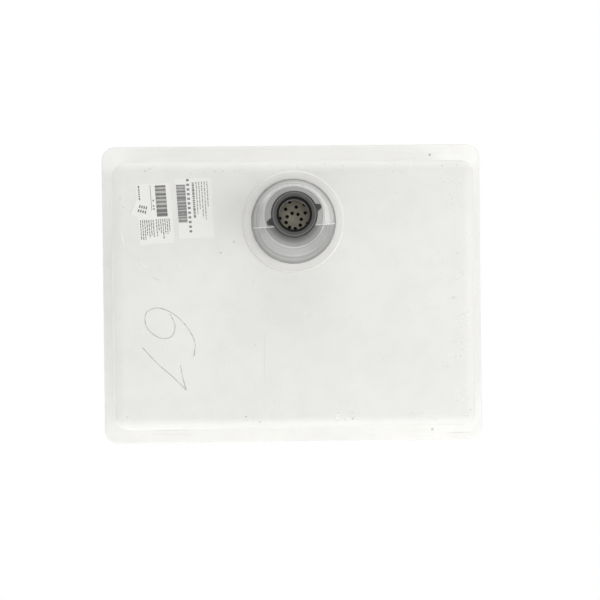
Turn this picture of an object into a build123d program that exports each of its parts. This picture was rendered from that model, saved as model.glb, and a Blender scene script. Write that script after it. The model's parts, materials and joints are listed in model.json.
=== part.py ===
from build123d import *
from math import cos, radians, sin, tan
import os

# Undermount sink moulded in granite composite, with its basket strainer waste.
# Millimetres. The origin is the centre of the rim's top face, +Z points up, and the waste
# lies towards +Y, which is the rear.

os.makedirs("parts", exist_ok=True)

# Rim
rim_length = 556.0
rim_width = 436.0
rim_thickness = 12.0
rim_corner_radius = 20.0
rim_edge_radius = 2.0
side_land = 32.5
front_land = 36.0

# Bowl
bowl_depth = 190.0
draft = 4.0
wall = 9.0
floor_thickness = 10.0
mouth_corner_radius = 11.0
floor_corner_radius = 9.5
mouth_edge_radius = 3.0
inner_floor_radius = 8.0
outer_floor_radius = 16.0
rim_root_radius = 5.0
rear_fall = 1.0
side_fall = 0.7
fall_at_waste = 5.0

# Slots for the worktop clips, in the rim's underside
clip_slot_length = 56.0
clip_slot_width = 5.0
clip_slot_depth = 1.5
clip_slot_x = 179.5
clip_slot_inset = 15.5
pilot_radius = 2.0
pilot_depth = 6.0
pilot_spacing = 50.0

# Seat of the waste in the bowl's floor
waste_hole_radius = 45.0
seat_clearance = 1.5
seat_depth = 4.0
seat_wall_height = 2.5
pad_radius = 67.0
pad_overlap = 3.0
pad_height = 3.0
pad_edge_radius = 2.0

# Strainer cup and its seals
cup_steel = 1.2
cup_flange_radius = 56.5
cup_mouth_radius = 42.0
cup_floor_radius = 36.5
cup_depth = 24.0
cup_mouth_bend = 3.0
cup_floor_bend = 3.0
upper_seal_thickness = 1.5
lower_seal_thickness = 3.0
lower_seal_radius = 56.0
seal_inset = 1.5

# Holes in the cup's floor
drain_hole_radius = 2.3
drain_ring_radii = (10.2, 18.5, 25.5)
drain_holes_per_ring = 8
drain_hole_turn = -11.5

# Waste housing
housing_wall = 3.0
housing_flange_radius = 54.8
housing_flange_thickness = 5.0
housing_flange_round = 2.0
housing_base_radius = 50.0
rear_floor_drop = 41.0
rear_floor_radius = 39.0
rear_floor_round = 3.5
front_floor_drop = 23.0
front_floor_radius = 41.0
front_floor_round = 2.5
step_offset = -8.0
step_turn = -2.5
step_edge_radius = 1.0

# Outlet
outlet_offset = 5.5
spigot_radius = 23.9
spigot_bore_radius = 20.5
spigot_length = 28.0
spigot_chamfer = 1.6

# Screws that hold the cup to the housing
screw_circle_radius = 30.2
screw_count = 3
screw_turn = 26.0
screw_clearance = 0.25
screw_radius = 2.0
screw_head_radius = 3.3
screw_head_height = 2.2
screw_length = 8.0
screw_slot_length = 4.2
screw_slot_width = 0.9
screw_slot_depth = 1.2
insert_radius = 3.0
insert_length = 7.0
boss_radius = 4.6

# Cone washer and union nut
washer_bore_radius = 19.5
washer_collar_radius = 23.4
washer_collar = 2.5
washer_cone = 3.0
nut_radius = 29.6
nut_height = 22.0
nut_mouth_radius = 22.6
nut_lip = 3.0
nut_front_chamfer = 2.0
nut_front_round = 0.6
ear_reach = 36.4
ear_root_width = 15.0
ear_tip_width = 5.0
ear_height = 9.0
ear_turn = -17.5
ear_tip_round = 2.0
ear_round = 1.2

# Lift-out strainer plug
basket_steel = 1.0
basket_drop = 8.0
basket_depth = 12.0
basket_wall_radius = 36.0
basket_shoulder_drop = 6.0
basket_floor_radius = 31.0
basket_bend = 1.5
basket_hole_radius = 1.3
basket_hole_count = 30
basket_seal_thickness = 3.0
stem_radius = 3.2
stem_end_round = 0.8
stem_clearance = 0.3
basket_nut_radius = 5.0
basket_nut_height = 2.4
knob_foot_radius = 6.5
knob_foot_height = 2.0
knob_neck_radius = 4.2
knob_taper = 2.0
knob_radius = 9.0
knob_height = 15.0
knob_head_height = 4.5
knob_dome_height = 1.5

# Gaps between pieces that move against each other
seat_gap = 0.3
running_gap = 0.3

# Derived sizes
mouth_length = rim_length - 2 * side_land
mouth_width = rim_width - 2 * front_land
waste_floor_z = -(bowl_depth + fall_at_waste)
seat_radius = cup_flange_radius + seat_clearance
underside_z = waste_floor_z - floor_thickness
underside_width = mouth_width + 2 * wall + 2 * underside_z * tan(radians(draft))
waste_y = underside_width / 2 - outer_floor_radius - pad_radius + pad_overlap
block_depth = bowl_depth + floor_thickness + outer_floor_radius + fall_at_waste
pad_face_z = underside_z - pad_height
seat_z = waste_floor_z - seat_depth
cup_top_z = seat_z + upper_seal_thickness + cup_steel
cup_floor_z = cup_top_z - cup_depth
cup_under_z = cup_floor_z - cup_steel
housing_top_z = pad_face_z - lower_seal_thickness
rear_floor_z = housing_top_z - rear_floor_drop
front_floor_z = housing_top_z - front_floor_drop
spigot_end_z = rear_floor_z - spigot_length
outlet_y = waste_y + outlet_offset
step_y = waste_y + step_offset
washer_face_z = spigot_end_z - washer_collar
nut_face_z = washer_face_z - nut_lip
nut_back_z = nut_face_z + nut_height
basket_rim_z = cup_top_z - basket_drop
basket_shoulder_z = basket_rim_z - basket_shoulder_drop
basket_floor_z = basket_rim_z - basket_depth
basket_under_z = basket_floor_z - basket_steel
stem_end_z = cup_floor_z + stem_clearance
knob_top_z = basket_floor_z + knob_height


def level(z, y=waste_y):
    """Horizontal plane at height z, centred on the waste or the outlet."""
    return Plane(origin=(0, y, z))


def upright(y):
    """Upright plane across the sink at y, drawn with X to the right and Z up."""
    return Plane(origin=(0, y, 0), x_dir=(1, 0, 0), z_dir=(0, -1, 0))


def axis_at(y):
    """Upright axis through the waste or the outlet."""
    return Axis((0, y, 0), (0, 0, 1))


def tapered_block(length, width, top_radius, bottom_radius):
    """Rounded block below the rim's plane that narrows by the draft of the mould."""
    inset = 2 * block_depth * tan(radians(draft))
    with BuildPart() as block:
        with BuildSketch():
            RectangleRounded(length, width, top_radius)
        with BuildSketch(Plane.XY.offset(-block_depth)):
            RectangleRounded(length - inset, width - inset, bottom_radius)
        loft()
    return block.part


def chamber(base_radius, floor_radius, floor_z, edge_round):
    """Round chamber below the waste, whose floor is centred on the outlet. Its seam is at the rear."""
    with BuildPart() as form:
        with BuildSketch(Plane((0, waste_y, housing_top_z), x_dir=(0, 1, 0))):
            Circle(base_radius)
        with BuildSketch(Plane((0, outlet_y, floor_z), x_dir=(0, 1, 0))):
            Circle(floor_radius)
        loft()
        fillet(form.faces().sort_by(Axis.Z)[0].edges(), edge_round)
    return form.part


def cup_bore(z):
    """Inner radius of the strainer cup's tapered wall at height z."""
    rise = (z - cup_floor_z) / cup_depth
    return cup_floor_radius + (cup_mouth_radius - cup_floor_radius) * rise


def save(piece, name):
    """Labels a finished piece and writes it to its own file."""
    piece.part.label = name
    export_step(piece.part, f"parts/{name}.step")


# Hollow of the bowl: its floor falls to the rear, and from both sides to the centre line
with BuildPart() as bowl_hollow:
    add(tapered_block(mouth_length, mouth_width, mouth_corner_radius, floor_corner_radius))
    for side in (1, -1):
        fall = (side * tan(radians(side_fall)), tan(radians(rear_fall)), 1)
        split(bisect_by=Plane(origin=(0, waste_y, waste_floor_z), z_dir=fall))
    floor_halves = bowl_hollow.faces().filter_by(lambda face: face.normal_at().Z < -0.9)
    floor_edges = floor_halves.edges().filter_by(lambda edge: abs(edge.center().X) > 1)
    fillet(floor_edges, inner_floor_radius)

# The moulding: rim, walls, floor and the raised pad that the waste clamps to
with BuildPart() as sink_bowl:
    add(
        tapered_block(
            mouth_length + 2 * wall,
            mouth_width + 2 * wall,
            mouth_corner_radius + wall,
            floor_corner_radius + wall,
        )
    )
    split(bisect_by=Plane(origin=(0, waste_y, underside_z), z_dir=(0, tan(radians(rear_fall)), 1)))
    fillet(sink_bowl.faces().sort_by(Axis.Z)[0].edges(), outer_floor_radius)
    with BuildSketch(level(pad_face_z)):
        Circle(pad_radius)
    extrude(amount=pad_height + floor_thickness / 2)
    fillet(sink_bowl.faces().sort_by(Axis.Z)[0].edges(), pad_edge_radius)
    with BuildSketch():
        RectangleRounded(rim_length, rim_width, rim_corner_radius)
    extrude(amount=-rim_thickness)
    rim_underside = sink_bowl.faces().filter_by_position(
        Axis.Z, -rim_thickness, -rim_thickness, inclusive=(True, True)
    )[0]
    fillet(rim_underside.inner_wires()[0].edges(), rim_root_radius)
    rim_rings = sink_bowl.faces().filter_by(Plane.XY).sort_by(Axis.Z)[-2:]
    fillet([f.outer_wire().edges() for f in rim_rings], rim_edge_radius)
    add(bowl_hollow.part, mode=Mode.SUBTRACT)
    fillet(sink_bowl.faces().sort_by(Axis.Z)[-1].inner_wires()[0].edges(), mouth_edge_radius)
    flare_z = seat_z + seat_wall_height
    with BuildSketch(upright(waste_y)):
        with BuildLine():
            Polyline(
                (0, seat_z),
                (seat_radius, seat_z),
                (seat_radius, flare_z),
                (seat_radius + seat_depth, flare_z + seat_depth),
                (0, flare_z + seat_depth),
                close=True,
            )
        make_face()
    revolve(axis=axis_at(waste_y), mode=Mode.SUBTRACT)
    with BuildSketch(level(pad_face_z)):
        Circle(waste_hole_radius)
    extrude(amount=seat_z - pad_face_z, mode=Mode.SUBTRACT)
    with BuildSketch(Plane.XY.offset(-rim_thickness)):
        with GridLocations(2 * clip_slot_x, rim_width - 2 * clip_slot_inset, 2, 2):
            SlotOverall(clip_slot_length, clip_slot_width)
    extrude(amount=clip_slot_depth, mode=Mode.SUBTRACT)
    with BuildSketch(Plane.XY.offset(-rim_thickness)):
        with GridLocations(2 * clip_slot_x, rim_width - 2 * clip_slot_inset, 2, 2):
            with GridLocations(pilot_spacing, 0, 2, 1):
                Circle(pilot_radius)
    extrude(amount=pilot_depth, mode=Mode.SUBTRACT)
save(sink_bowl, "sink_bowl")

# Pressed steel cup: flange, tapered wall and perforated floor
with BuildPart() as waste_cup:
    with BuildSketch(upright(waste_y)):
        with BuildLine():
            FilletPolyline(
                (0, cup_floor_z - cup_steel / 2),
                (cup_floor_radius + cup_steel / 2, cup_floor_z - cup_steel / 2),
                (cup_mouth_radius + cup_steel / 2, cup_top_z - cup_steel / 2),
                (cup_flange_radius, cup_top_z - cup_steel / 2),
                radius=(cup_floor_bend, cup_mouth_bend),
            )
        trace(line_width=cup_steel)
    revolve(axis=axis_at(waste_y))
    flange_rims = waste_cup.edges().filter_by(GeomType.CIRCLE).sort_by(SortBy.RADIUS)[-2:]
    fillet(flange_rims, cup_steel / 3)
    for ring, ring_radius in enumerate(drain_ring_radii):
        stagger = drain_hole_turn + ring * 180 / drain_holes_per_ring
        with Locations(level(cup_floor_z)):
            with PolarLocations(ring_radius, drain_holes_per_ring, start_angle=stagger):
                Hole(drain_hole_radius)
    with Locations(level(cup_floor_z)):
        with PolarLocations(screw_circle_radius, screw_count, start_angle=screw_turn):
            Hole(screw_radius + screw_clearance)
save(waste_cup, "waste_cup")

with BuildPart() as upper_seal:
    with BuildSketch(level(seat_z)):
        Circle(cup_flange_radius - seal_inset)
        Circle(waste_hole_radius + seal_inset, mode=Mode.SUBTRACT)
    extrude(amount=upper_seal_thickness)
save(upper_seal, "upper_seal")

with BuildPart() as lower_seal:
    with BuildSketch(level(housing_top_z)):
        Circle(lower_seal_radius)
        Circle(waste_hole_radius + seal_inset, mode=Mode.SUBTRACT)
    extrude(amount=lower_seal_thickness)
save(lower_seal, "lower_seal")

# Outer form and hollow of the waste housing: a shallow floor in front, a deep one behind the step
step_plane = Plane(
    (0, step_y, 0), z_dir=(-sin(radians(step_turn)), cos(radians(step_turn)), 0)
)
inner_base_radius = housing_base_radius - housing_wall
with BuildPart() as housing_rear:
    add(chamber(housing_base_radius, rear_floor_radius, rear_floor_z, rear_floor_round))
    split(bisect_by=step_plane)
    step_face = housing_rear.faces().filter_by(GeomType.PLANE).sort_by(Axis.Y)[0]
    fillet(step_face.edges().sort_by(Axis.Z)[:-1], step_edge_radius)

with BuildPart() as housing_form:
    add(chamber(housing_base_radius, front_floor_radius, front_floor_z, front_floor_round))
    add(housing_rear.part)

with BuildPart() as rear_hollow:
    add(
        chamber(
            inner_base_radius,
            rear_floor_radius - housing_wall,
            rear_floor_z + housing_wall,
            rear_floor_round - housing_wall,
        )
    )
    split(bisect_by=step_plane.offset(housing_wall))

with BuildPart() as housing_hollow:
    add(
        chamber(
            inner_base_radius,
            front_floor_radius - housing_wall,
            front_floor_z + housing_wall,
            front_floor_round,
        )
    )
    add(rear_hollow.part)

# Bosses for the three screws, from the cup's floor down into the housing's
with BuildPart() as screw_bosses:
    for boss in range(screw_count):
        spot = Vector(screw_circle_radius, 0).rotate(Axis.Z, screw_turn + boss * 360 / screw_count)
        floor_z = rear_floor_z if spot.Y > step_offset else front_floor_z
        with Locations((spot.X, waste_y + spot.Y, cup_under_z)):
            Cylinder(
                boss_radius,
                cup_under_z - floor_z - housing_wall / 2,
                align=(Align.CENTER, Align.CENTER, Align.MAX),
            )

with BuildPart() as waste_housing:
    add(housing_form.part)
    with BuildSketch(level(housing_top_z)):
        Circle(housing_flange_radius)
    extrude(amount=-housing_flange_thickness)
    flange_edges = waste_housing.edges().filter_by(GeomType.CIRCLE).sort_by(SortBy.RADIUS)[-2:]
    fillet(flange_edges.sort_by(Axis.Z)[0], housing_flange_round)
    with BuildSketch(level(front_floor_z + housing_wall, outlet_y)):
        Circle(spigot_radius)
    extrude(amount=spigot_end_z - front_floor_z - housing_wall)
    add(housing_hollow.part, mode=Mode.SUBTRACT)
    bore_top_z = front_floor_z + 2 * housing_wall
    with BuildSketch(upright(outlet_y)):
        with BuildLine():
            Polyline(
                (0, spigot_end_z),
                (spigot_bore_radius + spigot_chamfer, spigot_end_z),
                (spigot_bore_radius, spigot_end_z + spigot_chamfer),
                (spigot_bore_radius, bore_top_z),
                (0, bore_top_z),
                close=True,
            )
        make_face()
    revolve(axis=axis_at(outlet_y), mode=Mode.SUBTRACT)
    add(screw_bosses.part)
    with Locations(level(cup_under_z)):
        with PolarLocations(screw_circle_radius, screw_count, start_angle=screw_turn):
            Hole(insert_radius, depth=insert_length)
save(waste_housing, "waste_housing")

with BuildPart() as screw_inserts:
    with BuildSketch(level(cup_under_z)):
        with PolarLocations(screw_circle_radius, screw_count, start_angle=screw_turn):
            Circle(insert_radius)
            Circle(screw_radius, mode=Mode.SUBTRACT)
    extrude(amount=-insert_length)
save(screw_inserts, "screw_inserts")

# Pan-head screws from the cup's floor into the inserts
with BuildPart() as cup_screws:
    with BuildSketch(level(cup_floor_z)):
        with PolarLocations(screw_circle_radius, screw_count, start_angle=screw_turn):
            Circle(screw_head_radius)
    extrude(amount=screw_head_height)
    fillet(cup_screws.faces().group_by(Axis.Z)[-1].edges(), screw_head_height / 2)
    with BuildSketch(level(cup_floor_z)):
        with PolarLocations(screw_circle_radius, screw_count, start_angle=screw_turn):
            Circle(screw_radius)
    extrude(amount=-screw_length)
    with BuildSketch(level(cup_floor_z + screw_head_height)):
        with PolarLocations(screw_circle_radius, screw_count, start_angle=screw_turn):
            SlotOverall(screw_slot_length, screw_slot_width)
            SlotOverall(screw_slot_length, screw_slot_width, rotation=90)
    extrude(amount=-screw_slot_depth, mode=Mode.SUBTRACT)
save(cup_screws, "cup_screws")

# Cone washer, which squeezes onto the trap's pipe when the nut is tightened
with BuildPart() as cone_washer:
    cone_top_z = spigot_end_z + washer_cone
    with BuildSketch(upright(outlet_y)):
        with BuildLine():
            Polyline(
                (washer_bore_radius, washer_face_z),
                (washer_collar_radius, washer_face_z),
                (washer_collar_radius, spigot_end_z),
                (spigot_bore_radius + spigot_chamfer - running_gap, spigot_end_z),
                (spigot_bore_radius - running_gap, spigot_end_z + spigot_chamfer),
                (spigot_bore_radius - running_gap, cone_top_z),
                (washer_bore_radius, cone_top_z),
                close=True,
            )
        make_face()
    revolve(axis=axis_at(outlet_y))
save(cone_washer, "cone_washer")

# Union nut with two opposite ears, wider at their roots in the ring
with BuildPart() as union_nut:
    ear_root = spigot_radius + running_gap
    with BuildSketch(level(nut_back_z, outlet_y)):
        with PolarLocations(0, 2, start_angle=ear_turn):
            Polygon(
                (ear_root, -ear_root_width / 2),
                (ear_reach, -ear_tip_width / 2),
                (ear_reach, ear_tip_width / 2),
                (ear_root, ear_root_width / 2),
                align=None,
            )
    extrude(amount=-ear_height)
    ear_corners = union_nut.edges().filter_by(Axis.Z).sort_by_distance((0, outlet_y, nut_back_z))
    fillet(ear_corners[-4:], ear_tip_round)
    fillet(union_nut.faces().filter_by(Plane.XY).edges(), ear_round)
    with BuildSketch(level(nut_face_z, outlet_y)):
        Circle(nut_radius)
    extrude(amount=nut_height)
    chamfer(union_nut.faces().sort_by(Axis.Z)[0].edges(), nut_front_chamfer)
    fillet(union_nut.faces().sort_by(Axis.Z)[0].edges(), nut_front_round)
    with BuildSketch(level(washer_face_z, outlet_y)):
        Circle(spigot_radius + running_gap)
    extrude(amount=nut_height, mode=Mode.SUBTRACT)
    with BuildSketch(level(nut_face_z, outlet_y)):
        Circle(nut_mouth_radius)
    extrude(amount=nut_lip, mode=Mode.SUBTRACT)
save(union_nut, "union_nut")

# Pressed basket of the strainer plug. Its closed floor hangs below a shoulder, and water leaves
# through the ring of holes in the wall above the seal.
with BuildPart() as basket_shell:
    basket_rim_radius = cup_bore(basket_rim_z - basket_steel) - seat_gap
    with BuildSketch(upright(waste_y)):
        with BuildLine():
            FilletPolyline(
                (0, basket_floor_z - basket_steel / 2),
                (basket_floor_radius, basket_floor_z - basket_steel / 2),
                (basket_floor_radius, basket_shoulder_z - basket_steel / 2),
                (basket_wall_radius, basket_shoulder_z - basket_steel / 2),
                (basket_wall_radius, basket_rim_z - basket_steel / 2),
                (basket_rim_radius, basket_rim_z - basket_steel / 2),
                radius=basket_bend,
            )
        trace(line_width=basket_steel)
    revolve(axis=axis_at(waste_y))
    with Locations(level(basket_floor_z)):
        Hole(stem_radius)
    with Locations(level((basket_rim_z + basket_shoulder_z - basket_steel) / 2)):
        with PolarLocations(basket_wall_radius, basket_hole_count):
            Cylinder(basket_hole_radius, 3 * basket_steel, rotation=(0, 90, 0), mode=Mode.SUBTRACT)
save(basket_shell, "basket_shell")

# Rubber ring under the basket's shoulder, seated on the cup's tapered wall
with BuildPart() as basket_seal:
    seal_top_z = basket_shoulder_z - basket_steel
    seal_inner_radius = basket_floor_radius + basket_bend
    seal_under_z = seal_top_z - basket_seal_thickness
    with BuildSketch(upright(waste_y)):
        with BuildLine():
            Polyline(
                (seal_inner_radius, seal_top_z),
                (cup_bore(seal_top_z) - seat_gap, seal_top_z),
                (cup_bore(seal_under_z) - seat_gap, seal_under_z),
                (seal_inner_radius, seal_under_z),
                close=True,
            )
        make_face()
    revolve(axis=axis_at(waste_y))
save(basket_seal, "basket_seal")

# Turned knob that stands in the basket
with BuildPart() as basket_knob:
    foot_top_z = basket_floor_z + knob_foot_height
    head_z = knob_top_z - knob_head_height
    shoulder = (knob_radius, knob_top_z - knob_dome_height)
    with BuildSketch(upright(waste_y)):
        with BuildLine():
            Polyline(
                (0, knob_top_z),
                (0, basket_floor_z),
                (knob_foot_radius, basket_floor_z),
                (knob_foot_radius, foot_top_z),
                (knob_neck_radius, foot_top_z + knob_taper),
                (knob_neck_radius, head_z - knob_taper),
                (knob_radius, head_z),
                shoulder,
            )
            TangentArc((0, knob_top_z), shoulder, tangent=(1, 0))
        make_face()
    revolve(axis=axis_at(waste_y))
save(basket_knob, "basket_knob")

# Stem through the basket's floor, and the nut that holds it
with BuildPart() as basket_stem:
    with BuildSketch(level(basket_floor_z)):
        Circle(stem_radius)
    extrude(amount=stem_end_z - basket_floor_z)
    fillet(basket_stem.faces().sort_by(Axis.Z)[0].edges(), stem_end_round)
save(basket_stem, "basket_stem")

with BuildPart() as basket_nut:
    with BuildSketch(level(basket_under_z)):
        RegularPolygon(basket_nut_radius, 6, major_radius=False)
        Circle(stem_radius, mode=Mode.SUBTRACT)
    extrude(amount=-basket_nut_height)
save(basket_nut, "basket_nut")
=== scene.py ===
import json
import math
import random

import bmesh
import bpy
from mathutils import Euler, Matrix, Vector, noise
from mathutils.bvhtree import BVHTree


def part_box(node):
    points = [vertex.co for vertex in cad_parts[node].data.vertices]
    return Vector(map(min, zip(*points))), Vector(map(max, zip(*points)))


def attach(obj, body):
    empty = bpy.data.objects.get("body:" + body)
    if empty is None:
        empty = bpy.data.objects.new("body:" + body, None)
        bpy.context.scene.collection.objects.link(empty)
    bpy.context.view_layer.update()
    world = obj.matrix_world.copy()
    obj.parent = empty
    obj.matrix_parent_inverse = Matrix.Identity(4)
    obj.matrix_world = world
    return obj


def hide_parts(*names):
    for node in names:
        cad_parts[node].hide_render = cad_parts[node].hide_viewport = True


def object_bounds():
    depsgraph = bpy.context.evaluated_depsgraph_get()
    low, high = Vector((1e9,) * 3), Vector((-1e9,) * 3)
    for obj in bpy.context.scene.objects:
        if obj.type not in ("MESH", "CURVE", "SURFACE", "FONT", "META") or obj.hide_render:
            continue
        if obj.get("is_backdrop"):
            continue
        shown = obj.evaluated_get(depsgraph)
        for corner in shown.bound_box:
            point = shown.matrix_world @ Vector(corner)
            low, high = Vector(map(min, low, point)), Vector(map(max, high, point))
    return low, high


# Looks of a composite sink seen from underneath. Metres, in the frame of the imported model.
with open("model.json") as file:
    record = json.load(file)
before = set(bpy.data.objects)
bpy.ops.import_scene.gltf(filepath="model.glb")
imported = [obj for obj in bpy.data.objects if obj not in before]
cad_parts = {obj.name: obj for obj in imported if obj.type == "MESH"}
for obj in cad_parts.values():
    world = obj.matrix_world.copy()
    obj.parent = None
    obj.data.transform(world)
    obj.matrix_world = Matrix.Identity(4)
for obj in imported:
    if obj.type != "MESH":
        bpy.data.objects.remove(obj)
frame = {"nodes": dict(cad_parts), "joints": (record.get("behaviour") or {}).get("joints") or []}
nodes = frame["nodes"]
cad_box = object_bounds()

MM = 0.001

# Places taken from the frame
sink_low, sink_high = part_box("sink_bowl")
cup_low, cup_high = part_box("waste_cup")
nut_low, nut_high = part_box("union_nut")
waste_axis = Vector(((cup_low.x + cup_high.x) / 2, (cup_low.y + cup_high.y) / 2, 0))
nut_axis = Vector(((nut_low.x + nut_high.x) / 2, (nut_low.y + nut_high.y) / 2, 0))
nut_joint = next(joint for joint in frame["joints"] if joint["name"] == "washer_slide")
nut_travel = nut_joint["range_m"][1]
housing_low, housing_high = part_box("waste_housing")

# Camera under the sink: image right is -X, image up is +Y
IMAGE_SIDE = 600
FOCAL_PIXELS = 1295.3
CAMERA_PLACE = Vector((0.02471, 0.01188, -1.91903))
CAMERA_TURN = Euler((-0.01091, -0.01885, -0.01112), "XYZ")
LOOKING_UP = Matrix(((-1, 0, 0), (0, 1, 0), (0, 0, -1)))


def make_camera():
    """Camera at the photograph's viewing angle, below the sink and looking up."""
    data = bpy.data.cameras.new("camera")
    data.sensor_width = 36
    data.lens = data.sensor_width * FOCAL_PIXELS / IMAGE_SIDE
    camera = bpy.data.objects.new("camera", data)
    turned = LOOKING_UP @ CAMERA_TURN.to_matrix()
    camera.matrix_world = Matrix.Translation(CAMERA_PLACE) @ turned.to_4x4()
    bpy.context.scene.collection.objects.link(camera)
    bpy.context.scene.camera = camera


# Surfaces that marks and labels lie on

def surface_of(node):
    """Search tree of a CAD node's faces."""
    mesh = nodes[node].data
    return BVHTree.FromPolygons(
        [vertex.co for vertex in mesh.vertices], [face.vertices for face in mesh.polygons]
    )


def sight_line(px, py):
    """Direction from the camera through a pixel of the 600 by 600 photograph."""
    ray = Vector((px - IMAGE_SIDE / 2, IMAGE_SIDE / 2 - py, -FOCAL_PIXELS))
    return (LOOKING_UP @ CAMERA_TURN.to_matrix() @ ray).normalized()


sink_surface = surface_of("sink_bowl")
housing_surface = surface_of("waste_housing")


def seen_at(surface, px, py, lift=0.0):
    """Point that a pixel shows on a surface, raised by lift along its normal, and the normal."""
    spot, normal, _, _ = surface.ray_cast(CAMERA_PLACE, sight_line(px, py))
    if normal.z > 0:
        normal = -normal
    return spot + normal * lift, normal


def on_sink(px, py, lift=0.0):
    """Point that a pixel shows on the sink."""
    return seen_at(sink_surface, px, py, lift)


# Building helpers

def add_mesh(name, verts, faces, material, body="sink", slot="composite", smooth=True):
    """New piece from points and faces, which rides on a body and takes the given material. Its slot
    argument is not used.
    """
    mesh = bpy.data.meshes.new(name)
    mesh.from_pydata([tuple(v) for v in verts], [], faces)
    mesh.validate()
    builder = bmesh.new()
    builder.from_mesh(mesh)
    bmesh.ops.recalc_face_normals(builder, faces=builder.faces)
    builder.to_mesh(mesh)
    builder.free()
    mesh.materials.append(material)
    for face in mesh.polygons:
        face.use_smooth = smooth
    piece = bpy.data.objects.new(name, mesh)
    bpy.context.scene.collection.objects.link(piece)
    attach(piece, body)
    return piece


class Shader:
    """Short hand for the nodes of one material."""

    def __init__(self, name):
        self.material = bpy.data.materials.new(name)
        self.material.use_nodes = True
        self.tree = self.material.node_tree
        self.tree.nodes.clear()
        self.output = self.node("OutputMaterial")
        self.surface = self.node("BsdfPrincipled")
        self.link(self.surface.outputs["BSDF"], self.output.inputs["Surface"])
        self.place = self.node("TexCoord").outputs["Object"]

    def node(self, kind, **settings):
        made = self.tree.nodes.new("ShaderNode" + kind)
        for key, value in settings.items():
            setattr(made, key, value)
        return made

    def link(self, source, target):
        self.tree.links.new(source, target)

    def put(self, target, value):
        """Sets a socket to a value, or links it to another node's output."""
        if isinstance(value, bpy.types.NodeSocket):
            self.link(value, target)
        else:
            target.default_value = value

    def maths(self, operation, first, second=0.0, clamp=False):
        made = self.node("Math", operation=operation, use_clamp=clamp)
        self.put(made.inputs[0], first)
        self.put(made.inputs[1], second)
        return made.outputs[0]

    def noise(self, scale, detail=2.0, place=None, rough=0.5):
        made = self.node("TexNoise")
        self.link(place or self.place, made.inputs["Vector"])
        made.inputs["Scale"].default_value = scale
        made.inputs["Detail"].default_value = detail
        made.inputs["Roughness"].default_value = rough
        return made.outputs["Fac"]

    def span(self, value, low, high, to_low=0.0, to_high=1.0, smooth=False):
        """Maps low..high of a value to to_low..to_high, and holds it there beyond."""
        made = self.node("MapRange", clamp=True)
        if smooth:
            made.interpolation_type = "SMOOTHSTEP"
        self.put(made.inputs["Value"], value)
        for socket, number in zip(
            ("From Min", "From Max", "To Min", "To Max"), (low, high, to_low, to_high)
        ):
            made.inputs[socket].default_value = number
        return made.outputs["Result"]

    def mix(self, factor, first, second, blend="MIX"):
        made = self.node("Mix", data_type="RGBA", blend_type=blend)
        self.put(made.inputs["Factor"], factor)
        for socket, value in ((made.inputs[6], first), (made.inputs[7], second)):
            if isinstance(value, bpy.types.NodeSocket):
                self.link(value, socket)
            else:
                socket.default_value = (*value, 1.0)
        return made.outputs[2]

    def scaled(self, colour, factor):
        """A colour times a number that varies over the surface."""
        grey = self.node("CombineXYZ")
        for socket in grey.inputs:
            self.put(socket, factor)
        return self.mix(1.0, colour, grey.outputs[0], blend="MULTIPLY")

    def from_axis(self, axis):
        """Distance from an upright axis, and height."""
        apart = self.node("VectorMath", operation="SUBTRACT")
        self.link(self.place, apart.inputs[0])
        apart.inputs[1].default_value = axis
        parts = self.node("SeparateXYZ")
        self.link(apart.outputs[0], parts.inputs[0])
        flat = self.node("CombineXYZ")
        self.link(parts.outputs["X"], flat.inputs["X"])
        self.link(parts.outputs["Y"], flat.inputs["Y"])
        radius = self.node("VectorMath", operation="LENGTH")
        self.link(flat.outputs[0], radius.inputs[0])
        return radius.outputs["Value"], parts.outputs["Z"]

    def along(self, origin, direction):
        """Distance from an origin along a direction."""
        apart = self.node("VectorMath", operation="SUBTRACT")
        self.link(self.place, apart.inputs[0])
        apart.inputs[1].default_value = origin
        reach = self.node("VectorMath", operation="DOT_PRODUCT")
        self.link(apart.outputs[0], reach.inputs[0])
        reach.inputs[1].default_value = direction
        return reach.outputs["Value"]

    def line(self, value, middle, core, fade):
        """One on a line where value is within core of middle, falling to zero at fade."""
        off = self.maths("ABSOLUTE", self.maths("SUBTRACT", value, middle))
        return self.span(off, core, fade, 1.0, 0.0, smooth=True)

    def graded(self, tone, mask, factor):
        """A tone that is multiplied by factor where the mask is one."""
        extra = self.maths("MULTIPLY", mask, self.maths("SUBTRACT", factor, 1.0))
        return self.maths("MULTIPLY", tone, self.maths("ADD", 1.0, extra))

    def facing(self):
        """How far the surface faces up: one for a flat top, minus one for a flat underside."""
        parts = self.node("SeparateXYZ")
        self.link(self.node("NewGeometry").outputs["Normal"], parts.inputs[0])
        return parts.outputs["Z"]

    def product(self, *tones):
        """Product of several tones."""
        whole = tones[0]
        for tone in tones[1:]:
            whole = self.maths("MULTIPLY", whole, tone)
        return whole

    def bump(self, height, depth, under=None):
        made = self.node("Bump")
        made.inputs["Strength"].default_value = 1.0
        made.inputs["Distance"].default_value = depth
        self.link(height, made.inputs["Height"])
        if under:
            self.link(under, made.inputs["Normal"])
        return made.outputs["Normal"]

    def finish(self, colour, roughness, normal=None, **constants):
        self.put(self.surface.inputs["Base Color"], colour)
        self.put(self.surface.inputs["Roughness"], roughness)
        if normal:
            self.link(normal, self.surface.inputs["Normal"])
        for name, value in constants.items():
            self.surface.inputs[name.replace("_", " ")].default_value = value
        return self.material


# Materials

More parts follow.
